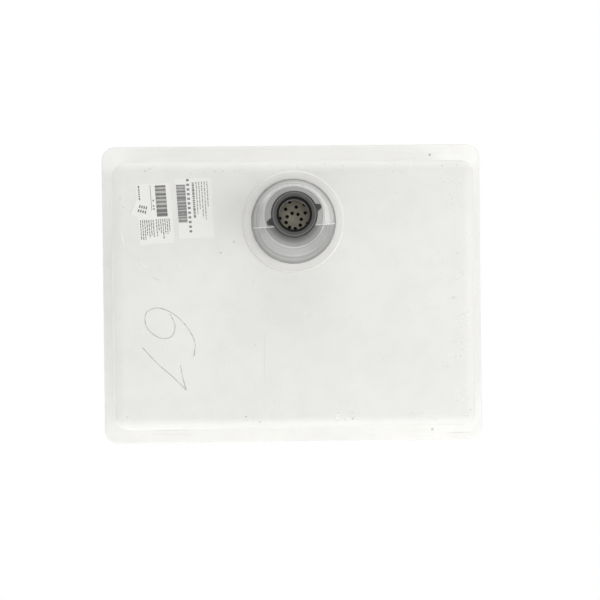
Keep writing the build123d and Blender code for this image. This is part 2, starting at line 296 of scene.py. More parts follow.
COMPOSITE_WHITE = (0.815, 0.812, 0.790)
PORE_GREY = (0.50, 0.48, 0.44)
# Painted shade for one side of the pad's edge
PAD_SHADE_GREY = (0.68, 0.67, 0.64)
PAPER_WHITE = (0.850, 0.846, 0.822)
HOUSING_GREY = (0.46, 0.46, 0.45)
# Painted highlight along the housing's step
STEP_HIGHLIGHT_GREY = (0.80, 0.80, 0.78)
NUT_GREY = (0.065, 0.065, 0.062)
# Painted highlight along the nut's front edge, and painted shade round its side
NUT_HIGHLIGHT_GREY = (0.17, 0.17, 0.16)
NUT_SIDE_SHADE = (0.018, 0.018, 0.017)
STEEL_BRIGHT = (0.60, 0.59, 0.57)
# Painted shade: darker copy of the steel for the waste cup
STEEL_SHADED = (0.33, 0.31, 0.25)
# Painted shade: near black for the basket's underside
STEEL_UNDERSIDE_SHADE = (0.012, 0.012, 0.011)
BRASS = (0.72, 0.56, 0.28)
RUBBER_BLACK = (0.012, 0.012, 0.0115)
RUBBER_GREY = (0.42, 0.41, 0.40)
PRINT_GREY = (0.17, 0.17, 0.165)
PRINT_PALE = (0.22, 0.22, 0.215)
PRINT_HAZE = (0.46, 0.46, 0.45)
GRAPHITE = (0.44, 0.44, 0.425)
PIT_GREY = (0.34, 0.32, 0.28)
SCUFF_WHITE = (0.92, 0.92, 0.90)
# Scratches and rubs, which also make painted shade and painted highlight lines
DARK_RUB_AND_SHADE_GREY = (0.60, 0.59, 0.56)
PALE_RUB_AND_HIGHLIGHT_WHITE = (0.93, 0.93, 0.91)
# Painted shade of the pilot holes
PILOT_SHADE_GREY = (0.60, 0.59, 0.56)
FLOOR_GREY = (0.86, 0.86, 0.855)

# Raised pad round the waste with painted shade along its edge on one side, and painted light on the rim's
# underside
PAD_EDGE_RADIUS = 66.3 * MM
PAD_SHADED_SIDE = (0.7, -0.7, 0)
PAD_SIDE = (sink_high.z - 200 * MM, sink_high.z - 198 * MM)
RIM_UNDERSIDE = sink_high.z - 12.0 * MM
# Painted light on the rim's underside, stronger at the rear, and on the floors of the clip slots
RIM_PAINTED_LIGHT = 1.07
REAR_RIM_PAINTED_LIGHT = 1.15
REAR_RIM_START = sink_high.y - 50 * MM
REAR_RIM_FULL = sink_high.y - 25 * MM
SLOT_FLOOR = sink_high.z - 10.5 * MM
SLOT_PAINTED_LIGHT = 1.06

# Levels of the housing's floors and side, and the line where its deep rear half begins
REAR_SIDE_START = housing_high.z - 37.5 * MM
FRONT_SIDE_START = housing_high.z - 21.0 * MM
SIDE_END = housing_high.z - 5.5 * MM
STEP_OFFSET = Vector((0, -8.0 * MM, 0))
STEP_TURN = math.radians(-2.5)
# Painted highlight on the rear side, strongest towards the rear right
REAR_SIDE_HIGHLIGHT = 1.6
REAR_RIGHT = (-0.35, 0.94, 0)

# Radii of the housing's painted shade and highlights: about the spigot for its floors, about the waste for
# its flange
SPIGOT_SHADOW_RADII = (28.0 * MM, 37.0 * MM)
FRONT_EDGE_RADIUS = 40.2 * MM
REAR_EDGE_RADIUS = 36.9 * MM
FLANGE_SHADE_RADII = (51.3 * MM, 53.2 * MM)
FLANGE_ROOT_RADIUS = 48.6 * MM

# Radii of the nut's painted edge highlight and of the painted shade round its side
NUT_EDGE_RADIUS = 26.9 * MM
NUT_RING_RADIUS = 29.6 * MM


def composite_material():
    """White granite composite: faint clouds, quartz grain, pores and a fine cast texture."""
    s = Shader("white_composite")
    clouds = s.span(s.noise(9.0, 3.0), 0.3, 0.7, 0.972, 1.012)
    blotches = s.span(s.noise(45.0, 2.0), 0.4, 0.7, 1.0, 0.978)
    grain = s.span(s.noise(850.0, 2.0), 0.3, 0.7, 0.975, 1.02)
    colour = s.scaled(COMPOSITE_WHITE, s.product(clouds, blotches, grain))
    pores = s.node("TexVoronoi", feature="F1")
    s.link(s.place, pores.inputs["Vector"])
    pores.inputs["Scale"].default_value = 95.0
    near = s.span(pores.outputs["Distance"], 0.04, 0.09, 1.0, 0.0)
    chosen = s.node("SeparateColor")
    s.link(pores.outputs["Color"], chosen.inputs[0])
    rare = s.maths("GREATER_THAN", chosen.outputs[0], 0.93)
    colour = s.mix(s.product(near, rare, 0.35), colour, PORE_GREY)

    # Painted shade: the pad's edge is darkened on the side away from the rear
    from_waste, height = s.from_axis(waste_axis)
    pad_edge_shade = s.product(
        s.line(from_waste, PAD_EDGE_RADIUS, 1.2 * MM, 2.4 * MM),
        s.span(height, *PAD_SIDE, 1.0, 0.0),
        s.span(s.along(waste_axis, PAD_SHADED_SIDE), -20 * MM, 30 * MM),
        0.75,
    )
    colour = s.mix(pad_edge_shade, colour, PAD_SHADE_GREY)

    # Painted light: the rim's underside and the floors of its slots are painted a little paler, most of
    # all at the rear
    facing_down = s.span(s.facing(), -0.99, -0.93, 1.0, 0.0)
    under_rim = s.product(facing_down, s.span(height, RIM_UNDERSIDE - 0.8 * MM, RIM_UNDERSIDE - 0.3 * MM))
    to_rear = s.along((0, 0, 0), (0, 1, 0))
    rim_light = s.span(to_rear, REAR_RIM_START, REAR_RIM_FULL, RIM_PAINTED_LIGHT, REAR_RIM_PAINTED_LIGHT)
    in_slot = s.product(facing_down, s.span(height, SLOT_FLOOR - 0.6 * MM, SLOT_FLOOR - 0.2 * MM))
    colour = s.scaled(colour, s.graded(s.graded(1.0, under_rim, rim_light), in_slot, SLOT_PAINTED_LIGHT))

    skin = s.bump(s.noise(160.0, 3.0), 0.06 * MM)
    skin = s.bump(s.noise(1400.0, 2.0), 0.03 * MM, skin)
    roughness = s.span(s.noise(40.0, 3.0), 0.3, 0.7, 0.50, 0.64)
    return s.finish(colour, roughness, skin, Specular_IOR_Level=0.3)


def steel_material(name, colour, roughness, axis, underside=None):
    """Steel turned in fine rings about an upright axis. Its underside may be painted dark and matte as
    shade.
    """
    s = Shader(name)
    radius, height = s.from_axis(axis)
    ring = s.node("CombineXYZ")
    s.link(radius, ring.inputs["X"])
    s.link(height, ring.inputs["Y"])
    rings = s.noise(2600.0, 2.0, ring.outputs[0])
    smudge = s.noise(60.0, 3.0)
    tone = s.product(s.span(rings, 0.2, 0.8, 0.9, 1.08), s.span(smudge, 0.3, 0.7, 0.94, 1.04))
    shade = s.scaled(colour, tone)
    rough = s.maths("ADD", s.span(smudge, 0.3, 0.7, -0.05, 0.07), roughness)
    grooves = s.bump(rings, 0.02 * MM)
    if not underside:
        return s.finish(shade, rough, grooves, Metallic=1.0)
    # Painted shade: the underside is painted dark and matte
    underside_shade = s.span(s.facing(), -0.6, -0.2, 1.0, 0.0)
    s.put(s.surface.inputs["Metallic"], s.maths("SUBTRACT", 1.0, underside_shade))
    rough = s.maths("MAXIMUM", rough, s.product(underside_shade, 0.9))
    return s.finish(s.mix(underside_shade, shade, underside), rough, grooves)


def rubber_material(name, colour, gloss=0.3):
    """Moulded rubber with a faint bloom."""
    s = Shader(name)
    bloom = s.span(s.noise(120.0, 4.0), 0.35, 0.7, 0.88, 1.15)
    grain = s.noise(1500.0, 2.0)
    rough = s.span(grain, 0.3, 0.7, 0.66, 0.84)
    return s.finish(s.scaled(colour, bloom), rough, s.bump(grain, 0.03 * MM), Specular_IOR_Level=gloss)


def housing_material():
    """Grey glossy moulding ringed by the mould, with painted highlights on its sides and edges, and
    painted shade round the spigot and along the edges.
    """
    s = Shader("grey_moulding")
    flow = s.span(s.noise(45.0, 3.0), 0.3, 0.7, 0.97, 1.03)
    rub = s.noise(700.0, 3.0)
    tone = s.product(flow, s.span(rub, 0.3, 0.75, 0.985, 1.02))
    from_waste, height = s.from_axis(waste_axis)
    from_spigot, _ = s.from_axis(nut_axis)
    past_step = s.along(waste_axis + STEP_OFFSET, (-math.sin(STEP_TURN), math.cos(STEP_TURN), 0))
    to_rear = s.along(nut_axis, REAR_RIGHT)

    # The sides below the floors are ringed by the mould. A painted highlight makes the rear side paler
    # towards the rear right; painted shade darkens the front side towards its floor and towards the rear
    # right
    on_side = s.product(
        s.span(height, REAR_SIDE_START, REAR_SIDE_START + 1.0 * MM),
        s.span(height, SIDE_END, SIDE_END + 1.0 * MM, 1.0, 0.0),
    )
    on_front = s.span(past_step, -0.3 * MM, 0.3 * MM, 1.0, 0.0)
    rear_side = s.product(on_side, s.maths("SUBTRACT", 1.0, on_front))
    front_side = s.product(on_side, on_front)
    mould_rings = s.node("CombineXYZ")
    s.link(from_spigot, mould_rings.inputs["X"])
    s.link(height, mould_rings.inputs["Y"])
    ringed = s.span(s.noise(520.0, 2.0, mould_rings.outputs[0]), 0.35, 0.65, 0.86, 1.12)
    tone = s.graded(tone, on_side, ringed)
    tone = s.graded(tone, rear_side, s.span(to_rear, -7.0 * MM, 12.0 * MM, 1.0, REAR_SIDE_HIGHLIGHT))
    tone = s.graded(tone, front_side, s.span(height, FRONT_SIDE_START, SIDE_END, 0.80, 1.08))
    tone = s.graded(tone, front_side, s.span(to_rear, -42.0 * MM, -26.0 * MM, 1.0, 0.85))

    # Painted shadow darkens the front floor round the spigot and it is painted lighter further out, with a
    # painted highlight along its edge; the rear floor's edge band is painted lighter, with a line of
    # painted shade at the edge
    on_front_floor = s.line(height, FRONT_SIDE_START - 2.0 * MM, 1.4 * MM, 2.0 * MM)
    spigot_shadow = s.span(from_spigot, *SPIGOT_SHADOW_RADII, 0.50, 1.14, smooth=True)
    tone = s.graded(tone, s.product(on_front, on_front_floor), spigot_shadow)
    front_arc_highlight = s.product(on_front, s.line(from_spigot, FRONT_EDGE_RADIUS, 0.3 * MM, 0.9 * MM))
    tone = s.graded(tone, front_arc_highlight, 1.3)
    on_rear_floor = s.line(height, REAR_SIDE_START - 3.5 * MM, 2.5 * MM, 3.5 * MM)
    rear_edge_shade = s.product(on_rear_floor, s.line(from_spigot, REAR_EDGE_RADIUS, 0.3 * MM, 0.8 * MM))
    tone = s.graded(tone, on_rear_floor, 1.07)
    tone = s.graded(tone, rear_edge_shade, 0.72)

    # Painted shade darkens the flange along its outer edge and in its root, and its flat is painted a
    # little lighter
    on_flange = s.span(height, SIDE_END, SIDE_END + 1.0 * MM)
    tone = s.graded(tone, on_flange, s.span(from_waste, *FLANGE_SHADE_RADII, 1.1, 0.55, smooth=True))
    flange_root_shade = s.product(on_flange, s.line(from_waste, FLANGE_ROOT_RADIUS, 0.3 * MM, 0.9 * MM))
    tone = s.graded(tone, flange_root_shade, 0.8)

    roughness = s.span(s.noise(90.0, 4.0), 0.3, 0.7, 0.10, 0.18)
    ripple = s.bump(s.noise(40.0, 2.0), 0.04 * MM)
    return s.finish(s.scaled(HOUSING_GREY, tone), roughness, s.bump(rub, 0.01 * MM, ripple))


def nut_material():
    """Dark satin plastic of the union nut, with a painted highlight along the edge of its front and
    painted shade round its side.
    """
    s = Shader("dark_moulding")
    grain = s.noise(1100.0, 2.0)
    wear = s.span(s.noise(140.0, 4.0), 0.4, 0.75, 0.95, 1.2)
    radius, height = s.from_axis(nut_axis)
    edge = s.line(radius, NUT_EDGE_RADIUS, 0.3 * MM, 0.8 * MM)
    front = s.span(height, nut_low.z + 0.5 * MM, nut_low.z + 1.0 * MM, 1.0, 0.0)
    nut_highlight = s.product(edge, front, s.span(grain, 0.3, 0.6, 0.5, 0.9))
    outside = s.span(radius, NUT_EDGE_RADIUS + 0.5 * MM, NUT_EDGE_RADIUS + 1.2 * MM)
    on_ring = s.span(radius, NUT_RING_RADIUS + 0.2 * MM, NUT_RING_RADIUS + 0.8 * MM, 1.0, 0.0)
    colour = s.mix(s.product(outside, on_ring), s.scaled(NUT_GREY, wear), NUT_SIDE_SHADE)
    colour = s.mix(nut_highlight, colour, NUT_HIGHLIGHT_GREY)
    roughness = s.span(grain, 0.3, 0.7, 0.42, 0.54)
    return s.finish(colour, roughness, s.bump(grain, 0.03 * MM), Specular_IOR_Level=0.35)


def brass_material():
    """Turned brass of the threaded inserts."""
    s = Shader("insert_brass")
    tone = s.span(s.noise(300.0, 3.0), 0.3, 0.7, 0.9, 1.05)
    roughness = s.span(s.noise(900.0), 0.3, 0.7, 0.28, 0.4)
    return s.finish(s.scaled(BRASS, tone), roughness, Metallic=1.0)


def paper_material():
    """Uncoated label paper."""
    s = Shader("label_paper")
    fibre = s.noise(900.0, 4.0)
    tone = s.span(fibre, 0.3, 0.7, 0.985, 1.01)
    return s.finish(s.scaled(PAPER_WHITE, tone), 0.62, s.bump(fibre, 0.02 * MM))


def ink_material(name, colour):
    """Print or pencil on the surface, a little broken up."""
    s = Shader(name)
    return s.finish(s.scaled(colour, s.span(s.noise(1500.0, 3.0), 0.3, 0.7, 0.85, 1.2)), 0.6)


def dress_cad_nodes():
    """Gives every CAD node its finish."""
    bright_steel = steel_material("turned_steel", STEEL_BRIGHT, 0.24, waste_axis)
    # Painted shade: the basket's underside is painted dark
    basket_steel = steel_material("basket_steel", STEEL_BRIGHT, 0.24, waste_axis, STEEL_UNDERSIDE_SHADE)
    # Painted shade: the waste cup takes the darker copy of the steel
    shaded_steel = steel_material("shaded_steel", STEEL_SHADED, 0.42, waste_axis)
    dark_rubber = rubber_material("dark_rubber", RUBBER_BLACK, 0.15)
    seal_rubber = rubber_material("seal_rubber", RUBBER_GREY)
    finishes = {
        "sink_bowl": composite_material(),
        "waste_cup": shaded_steel,
        "cup_screws": bright_steel,
        "basket_shell": basket_steel,
        "basket_stem": basket_steel,
        "basket_nut": basket_steel,
        "basket_knob": bright_steel,
        "screw_inserts": brass_material(),
        "waste_housing": housing_material(),
        "union_nut": nut_material(),
        "cone_washer": dark_rubber,
        "basket_seal": dark_rubber,
        "upper_seal": dark_rubber,
        "lower_seal": seal_rubber,
    }
    for name, finish in finishes.items():
        nodes[name].data.materials.clear()
        nodes[name].data.materials.append(finish)
    return finishes


# Sheets and strokes on the sink's underside

class Solids:
    """Gathers several closed forms into one mesh."""

    def __init__(self):
        self.verts = []
        self.faces = []

    def slab(self, at, low, high, across=1, along=1):
        """Closed sheet over the unit square, where at(u, v, lift) gives its points."""
        first = len(self.verts)
        row = across + 1
        layer = row * (along + 1)
        for lift in (low, high):
            for j in range(along + 1):
                for i in range(row):
                    self.verts.append(at(i / across, j / along, lift))
        for j in range(along):
            for i in range(across):
                a = first + j * row + i
                self.faces.append((a, a + 1, a + row + 1, a + row))
                self.faces.append((a + layer, a + layer + row, a + layer + row + 1, a + layer + 1))
        border = list(range(across))
        border += [across + j * row for j in range(along)]
        border += [along * row + across - i for i in range(across)]
        border += [(along - j) * row for j in range(along)]
        for a, b in zip(border, border[1:] + border[:1]):
            self.faces.append((first + a, first + b, first + b + layer, first + a + layer))

    def lathe(self, profile, axis, sides):
        """Closed ring: a closed profile of (radius, height) points turned about an upright axis."""
        first = len(self.verts)
        count = len(profile)
        for side in range(sides):
            angle = 2 * math.pi * side / sides
            for radius, height in profile:
                outward = Vector((math.cos(angle), math.sin(angle), 0))
                self.verts.append(axis + outward * radius + Vector((0, 0, height)))
        for side in range(sides):
            for k in range(count):
                a = first + side * count
                b = first + (side + 1) % sides * count
                after = (k + 1) % count
                self.faces.append((a + k, b + k, b + after, a + after))

    def coil(self, axis, foot, crest, low, high):
        """Closed ridge wound as a right-handed thread between two heights, which runs out at both ends."""
        first = len(self.verts)
        turns = (high - low) / THREAD_PITCH
        steps = round(turns * THREAD_SIDES)
        for step in range(steps + 1):
            angle = 2 * math.pi * (turns * step / steps + low / THREAD_PITCH)
            middle = low + (high - low) * step / steps
            rise = min(1.0, 0.15 + min(step, steps - step) / RUN_OUT_SIDES)
            outward = Vector((math.cos(angle), math.sin(angle), 0))
            section = ((0.0, THREAD_BASE), (rise, THREAD_EDGE), (rise, -THREAD_EDGE), (0.0, -THREAD_BASE))
            for reach, width in section:
                radius = foot + (crest - foot) * reach
                self.verts.append(axis + outward * radius + Vector((0, 0, middle + width / 2)))
        count = 4
        for step in range(steps):
            for k in range(count):
                a = first + step * count + k
                b = first + step * count + (k + 1) % count
                self.faces.append((a, b, b + count, a + count))
        last = first + steps * count
        self.faces.append(tuple(first + k for k in range(count)))
        self.faces.append(tuple(last + count - 1 - k for k in range(count)))

    def stadium(self, middle, half, radius, low, high, sides):
        """Closed flat slot shape, or disc where half is zero, between two heights from its middle."""
        first = len(self.verts)
        for height in (low, high):
            for k in range(sides):
                angle = 2 * math.pi * (k + 0.5) / sides
                shift = math.copysign(half, math.cos(angle))
                place = Vector((shift + radius * math.cos(angle), radius * math.sin(angle), height))
                self.verts.append(middle + place)
        for k in range(sides):
            after = (k + 1) % sides
            self.faces.append((first + k, first + after, first + after + sides, first + k + sides))
        self.faces.append(tuple(first + sides - 1 - k for k in range(sides)))
        self.faces.append(tuple(first + sides + k for k in range(sides)))

    def ribbon(self, spots, widths, height):
        """Low closed ridge along a line of (point, normal) pairs."""
        first = len(self.verts)
        for n, (spot, normal) in enumerate(spots):
            before = spots[max(n - 1, 0)][0]
            after = spots[min(n + 1, len(spots) - 1)][0]
            side = (after - before).cross(normal).normalized() * widths[n] / 2
            crown = spot + normal * height
            self.verts += [spot + side, crown + side * 0.5, crown - side * 0.5, spot - side]
            self.verts.append(spot - normal * height)
        count = 5
        for n in range(len(spots) - 1):
            for k in range(count):
                a = first + n * count + k
                b = first + n * count + (k + 1) % count
                self.faces.append((a, b, b + count, a + count))
        self.faces.append(tuple(first + k for k in range(count)))
        last = first + (len(spots) - 1) * count
        self.faces.append(tuple(last + count - 1 - k for k in range(count)))

    def blob(self, spot, normal, length, width, turn, height, sides=10):
        """Low closed dome, longer one way than the other."""
        first = len(self.verts)
        u = normal.orthogonal().normalized()
        v = normal.cross(u)
        for share, rise in ((1.0, -0.3), (1.0, 0.1), (0.6, 0.8)):
            for k in range(sides):
                angle = 2 * math.pi * k / sides
                wobble = 1 + 0.22 * math.sin(3 * angle + 40 * turn)
                x = math.cos(angle) * length / 2 * share * wobble
                y = math.sin(angle) * width / 2 * share * wobble
                place = u * (x * math.cos(turn) - y * math.sin(turn))
                place += v * (x * math.sin(turn) + y * math.cos(turn))
                self.verts.append(spot + place + normal * height * rise)
        for ring in range(2):
            for k in range(sides):
                a = first + ring * sides + k
                b = first + ring * sides + (k + 1) % sides
                self.faces.append((a, b, b + sides, a + sides))
        self.faces.append(tuple(first + sides - 1 - k for k in range(sides)))
        self.faces.append(tuple(first + 2 * sides + k for k in range(sides)))

    def piece(self, name, material, **options):
        return add_mesh(name, self.verts, self.faces, material, **options)


LIP_INNER = 19.4 * MM
LIP_OUTER = 20.8 * MM
LIP_HEIGHT = 1.5 * MM
LIP_CHAMFER = 0.3 * MM
LIP_ABOVE_SPIGOT_END = 29.5 * MM


def make_bore_lip(material):
    """Thin lip round the inner end of the spigot's bore, which a pipe stops against."""
    top = housing_low.z + LIP_ABOVE_SPIGOT_END
    bottom = top - LIP_HEIGHT
    profile = [
        (LIP_OUTER, top),
        (LIP_INNER + LIP_CHAMFER, top),
        (LIP_INNER, top - LIP_CHAMFER),
        (LIP_INNER, bottom + LIP_CHAMFER),
        (LIP_INNER + LIP_CHAMFER, bottom),
        (LIP_OUTER, bottom),
    ]
    ring = Solids()
    ring.lathe(profile, nut_axis, 96)
    ring.piece("bore_lip", material, slot="housing_plastic")


# Thread of the spigot and the nut. It runs out over the last sides of its turns
THREAD_PITCH = 2.309 * MM
THREAD_SIDES = 72
RUN_OUT_SIDES = 30
THREAD_BASE = 1.5 * MM
THREAD_EDGE = 0.5 * MM
SPIGOT_RADIUS = 23.9 * MM
THREAD_ROOT = 22.8 * MM
THREAD_TOP = housing_low.z + 22.6 * MM
THREAD_RELIEF = 0.7 * MM
NUT_BORE_RADIUS = 24.2 * MM


def make_threaded_housing():
    """The housing with its spigot turned down to the thread's root, in place of the plain one."""
    builder = bmesh.new()
    builder.from_mesh(nodes["waste_housing"].data)
    for level in (THREAD_TOP + THREAD_RELIEF, THREAD_TOP):
        edges = builder.verts[:] + builder.edges[:] + builder.faces[:]
        bmesh.ops.bisect_plane(builder, geom=edges, dist=1e-6, plane_co=(0, 0, level), plane_no=(0, 0, 1))
    for vertex in builder.verts:
        outward = (vertex.co - nut_axis) * Vector((1, 1, 0))
        if vertex.co.z < THREAD_TOP + 0.01 * MM and outward.length > SPIGOT_RADIUS - 0.2 * MM:
            vertex.co -= outward * (1 - THREAD_ROOT / outward.length)
    mesh = bpy.data.meshes.new("threaded_housing")
    builder.to_mesh(mesh)
    builder.free()
    for finish in nodes["waste_housing"].data.materials:
        mesh.materials.append(finish)
    housing = bpy.data.objects.new("threaded_housing", mesh)
    bpy.context.scene.collection.objects.link(housing)
    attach(housing, "sink")
    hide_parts("waste_housing")


def make_threads(housing_finish, nut_finish):
    """Trapezoid thread round the spigot, and the one inside the nut that runs between its turns."""
    outer = Solids()
    outer.coil(
        nut_axis, THREAD_ROOT - 0.1 * MM, SPIGOT_RADIUS, housing_low.z + 2.4 * MM, THREAD_TOP - 1.0 * MM
    )
    outer.piece("spigot_thread", housing_finish, slot="housing_plastic", smooth=False)
    inner = Solids()
    start = nut_low.z + 6.4 * MM - THREAD_PITCH / 2
    inner.coil(
        nut_axis, NUT_BORE_RADIUS + 0.05 * MM, THREAD_ROOT + 0.3 * MM, start, start + 6 * THREAD_PITCH
    )
    inner.piece("nut_thread", nut_finish, body="nut", slot="nut_plastic", smooth=False)


# Ends of the bead along the housing's step, as pixels of the photograph
STEP_BEADS = [((253.6, 227.9), (273.5, 226.9)), ((315.0, 225.3), (334.6, 223.3))]
BEAD_WIDTH = 1.25 * MM
BEAD_HEIGHT = 0.3 * MM


def make_step_bead(material):
    """Pale bead along the housing's step, on both sides of the spigot, whose pale colour paints the
    highlight of the step's edge.
    """
    bead = Solids()
    for start, end in STEP_BEADS:
        pixels = [Vector(start).lerp(Vector(end), k / 24) for k in range(25)]
        spots = [seen_at(housing_surface, *pixel) for pixel in pixels]
        bead.ribbon(spots, [BEAD_WIDTH] * len(spots), BEAD_HEIGHT)
    bead.piece("step_bead", material, slot="housing_plastic")


def step_highlight_finish():
    """Pale grey that paints the highlight along the housing's step."""
    s = Shader("step_edge_highlight")
    uneven = s.span(s.noise(500.0, 3.0), 0.3, 0.7, 0.88, 1.05)
    return s.finish(s.scaled(STEP_HIGHLIGHT_GREY, uneven), s.span(s.noise(900.0), 0.3, 0.7, 0.3, 0.45))


def blend_points(corners, u, v):
    """Pixel at u, v of the four corners, given clockwise from the top left."""
    top = Vector(corners[0]).lerp(Vector(corners[1]), u)
    bottom = Vector(corners[3]).lerp(Vector(corners[2]), u)
    return top.lerp(bottom, v)


PAPER_THICKNESS = 0.08 * MM
PAPER_LIFT = 0.03 * MM
PRINT_THICKNESS = 0.015 * MM
LABEL_GRID = (14, 22)

# Corners of the labels, clockwise from the top left, as pixels of the photograph
LEFT_LABEL = [(135.5, 184.2), (169.7, 182.9), (174.6, 242.5), (140.2, 244.9)]
SMALL_LABEL = [(136.4, 199.5), (149.3, 202.3), (146.2, 219.0), (130.2, 215.2)]
RIGHT_LABEL = [(174.6, 179.0), (210.9, 177.8), (214.2, 237.0), (179.2, 238.9)]
SMALL_LABEL_CURL = 0.4 * MM
RIGHT_LABEL_CURL = 0.2 * MM


class Label:
    """Plain paper label, laid on the sink between four pixels of the photograph."""

    def __init__(self, name, corners, curl, finishes, base=PAPER_LIFT):
        self.name = name
        self.corners = corners
        self.curl = curl
        self.finishes = finishes
        self.face = base + PAPER_THICKNESS
        sheet = Solids()
        sheet.slab(self.at, base, self.face, *LABEL_GRID)
        sheet.piece(name, finishes["paper"], smooth=False)
        self.print = Solids()
        self.haze = Solids()

    def at(self, u, v, lift):
        px, py = blend_points(self.corners, u, v)
        raised = lift + self.curl * (max(0.0, 0.16 - u) / 0.16) ** 2 * (0.4 + v)
        return on_sink(px, py, raised)[0]

    def mark(self, u0, v0, u1, v1, layer=None, height=PRINT_THICKNESS):
        """Printed patch between two points of the label."""

        def at(u, v, lift):
            return self.at(u0 + (u1 - u0) * u, v0 + (v1 - v0) * v, self.face + lift)

        steps = max(1, round(abs(v1 - v0) * 12))
        (layer or self.print).slab(at, -height, height, 1, steps)

    def bars(self, u0, v0, u1, v1, count, draw):
        """Block of plain bars of uneven thickness over a grey haze, which stand for no number."""
        edge = v0
        pitch = (v1 - v0) / count
        for _ in range(count):
            self.mark(u0, edge, u1, edge + pitch * draw.uniform(0.3, 0.85))
            edge += pitch
        self.mark(u0, v0, u1, v1 - 0.1 * pitch, self.haze, PRINT_THICKNESS / 2)

    def dashes(self, u0, v0, v1, width, draw, longest=0.06):
        """Broken line down the label, as small print looks from a step away."""
        edge = v0
        while edge < v1:
            stop = min(v1, edge + draw.uniform(0.35, 1.0) * longest)
            self.mark(u0, edge, u0 + width, stop)
            edge = stop + longest * 0.2

    def print_with(self, ink):
        """Makes the pieces of the label's print."""
        self.print.piece(self.name + "_print", self.finishes[ink])
        if self.haze.verts:
            self.haze.piece(self.name + "_haze", self.finishes["haze"])


def make_left_label(draw, finishes):
    """Left label: a block of bars, two blocks of small print and a few marks, no words."""
    label = Label("label_left", LEFT_LABEL, 0.0, finishes)
    label.bars(0.555, 0.035, 0.865, 0.565, 8, draw)
    for column in range(7):
        label.dashes(0.045 + column * 0.062, 0.60, draw.uniform(0.84, 0.94), 0.026, draw)
    for column in range(7):
        label.dashes(0.51 + column * 0.062, 0.595, draw.uniform(0.78, 0.93), 0.026, draw)
    label.dashes(0.06, 0.03, 0.27, 0.04, draw)
    label.mark(0.41, 0.02, 0.424, 0.45)
    for place in (0.27, 0.36, 0.41):
        label.mark(0.46, place, 0.50, place + 0.025)
    label.print_with("ink")
    return label


def make_small_label(under, finishes):
    """Small label over the left one's edge, with two rows of dots."""
    label = Label("label_tab", SMALL_LABEL, SMALL_LABEL_CURL, finishes, under.face + PAPER_LIFT)
    for row in range(2):
        for k in range(4):
            label.mark(0.36 + k * 0.155, 0.28 + row * 0.26, 0.45 + k * 0.155, 0.45 + row * 0.26)
    label.print_with("ink")


def make_right_label(draw, finishes):
    """Right label: a block of bars, a column of dots, a bold dashed column and small print."""
    label = Label("label_right", RIGHT_LABEL, RIGHT_LABEL_CURL, finishes)
    label.bars(0.022, 0.10, 0.275, 0.74, 13, draw)
    for k in range(12):
        top = k * 0.078
        label.mark(0.31, top + 0.008, 0.385, top + 0.045)
    label.dashes(0.46, 0.07, 0.66, 0.06, draw, 0.05)
    for column, stop in enumerate((0.60, 0.52, 0.66, 0.70, 0.48)):
        label.dashes(0.57 + column * 0.075, 0.06, stop, 0.022, draw)
    label.print_with("pale_ink")


def make_labels():
    """Two paper labels and a small one. They carry bars, dots and dashes."""
    finishes = {
        "paper": paper_material(),
        "ink": ink_material("print_grey", PRINT_GREY),
        "pale_ink": ink_material("print_pale", PRINT_PALE),
        "haze": ink_material("print_haze", PRINT_HAZE),
    }
    draw = random.Random(4)
    left = make_left_label(draw, finishes)
    make_small_label(left, finishes)
    make_right_label(draw, finishes)


def smooth_line(points, steps):
    """Points of a Catmull-Rom curve through given ones."""
    ends = [points[0]] + list(points) + [points[-1]]
    line = []
    for k in range(1, len(ends) - 2):
        p0, p1, p2, p3 = (Vector(p) for p in ends[k - 1:k + 3])
        for step in range(steps):
            t = step / steps
            line.append(
                0.5 * (2 * p1 + (p2 - p0) * t + (2 * p0 - 5 * p1 + 4 * p2 - p3) * t * t
                       + (3 * p1 - p0 - 3 * p2 + p3) * t ** 3)
            )
    line.append(Vector(points[-1]))
    return line


# Pencilled number, written sideways: pixels of each digit's foot, and its upward direction
FIRST_FOOT = Vector((147.0, 312.0))
SECOND_FOOT = Vector((142.0, 348.5))
FIRST_UP = Vector((0.81, 0.585))
SECOND_UP = Vector((0.75, 0.66))
PENCIL_WIDTH = 1.35 * MM
PENCIL_HEIGHT = 0.02 * MM
SIX = [
    (9, 64), (-3, 57), (-11, 42), (-14, 24), (-10, 7), (1, 0),
    (12, 8), (14, 24), (6, 34), (-5, 31), (-12, 20),
]
ONE_FLAG = [(-13, 40), (-5, 50), (2, 61)]
ONE_STEM = [(2, 61), (1, 44), (1, 22), (-1, 0)]


def make_pencil_mark(graphite):
    """A plain number in pencil, faint and broken where the grain is coarse."""
    mark = Solids()
    for foot, up, stroke in (
        (FIRST_FOOT, FIRST_UP, SIX), (SECOND_FOOT, SECOND_UP, ONE_FLAG), (SECOND_FOOT, SECOND_UP, ONE_STEM)
    ):
        across = Vector((-up.y, up.x))
        pixels = [foot + across * r + up * u for r, u in smooth_line(stroke, 14)]
        spots = [on_sink(*pixel) for pixel in pixels]
        widths = [
            PENCIL_WIDTH * (0.75 + 0.5 * noise.noise(spot * 260) + 0.2 * noise.noise(spot * 1400))
            for spot, _ in spots
        ]
        mark.ribbon(spots, widths, PENCIL_HEIGHT)
    mark.piece("pencil_mark", graphite)


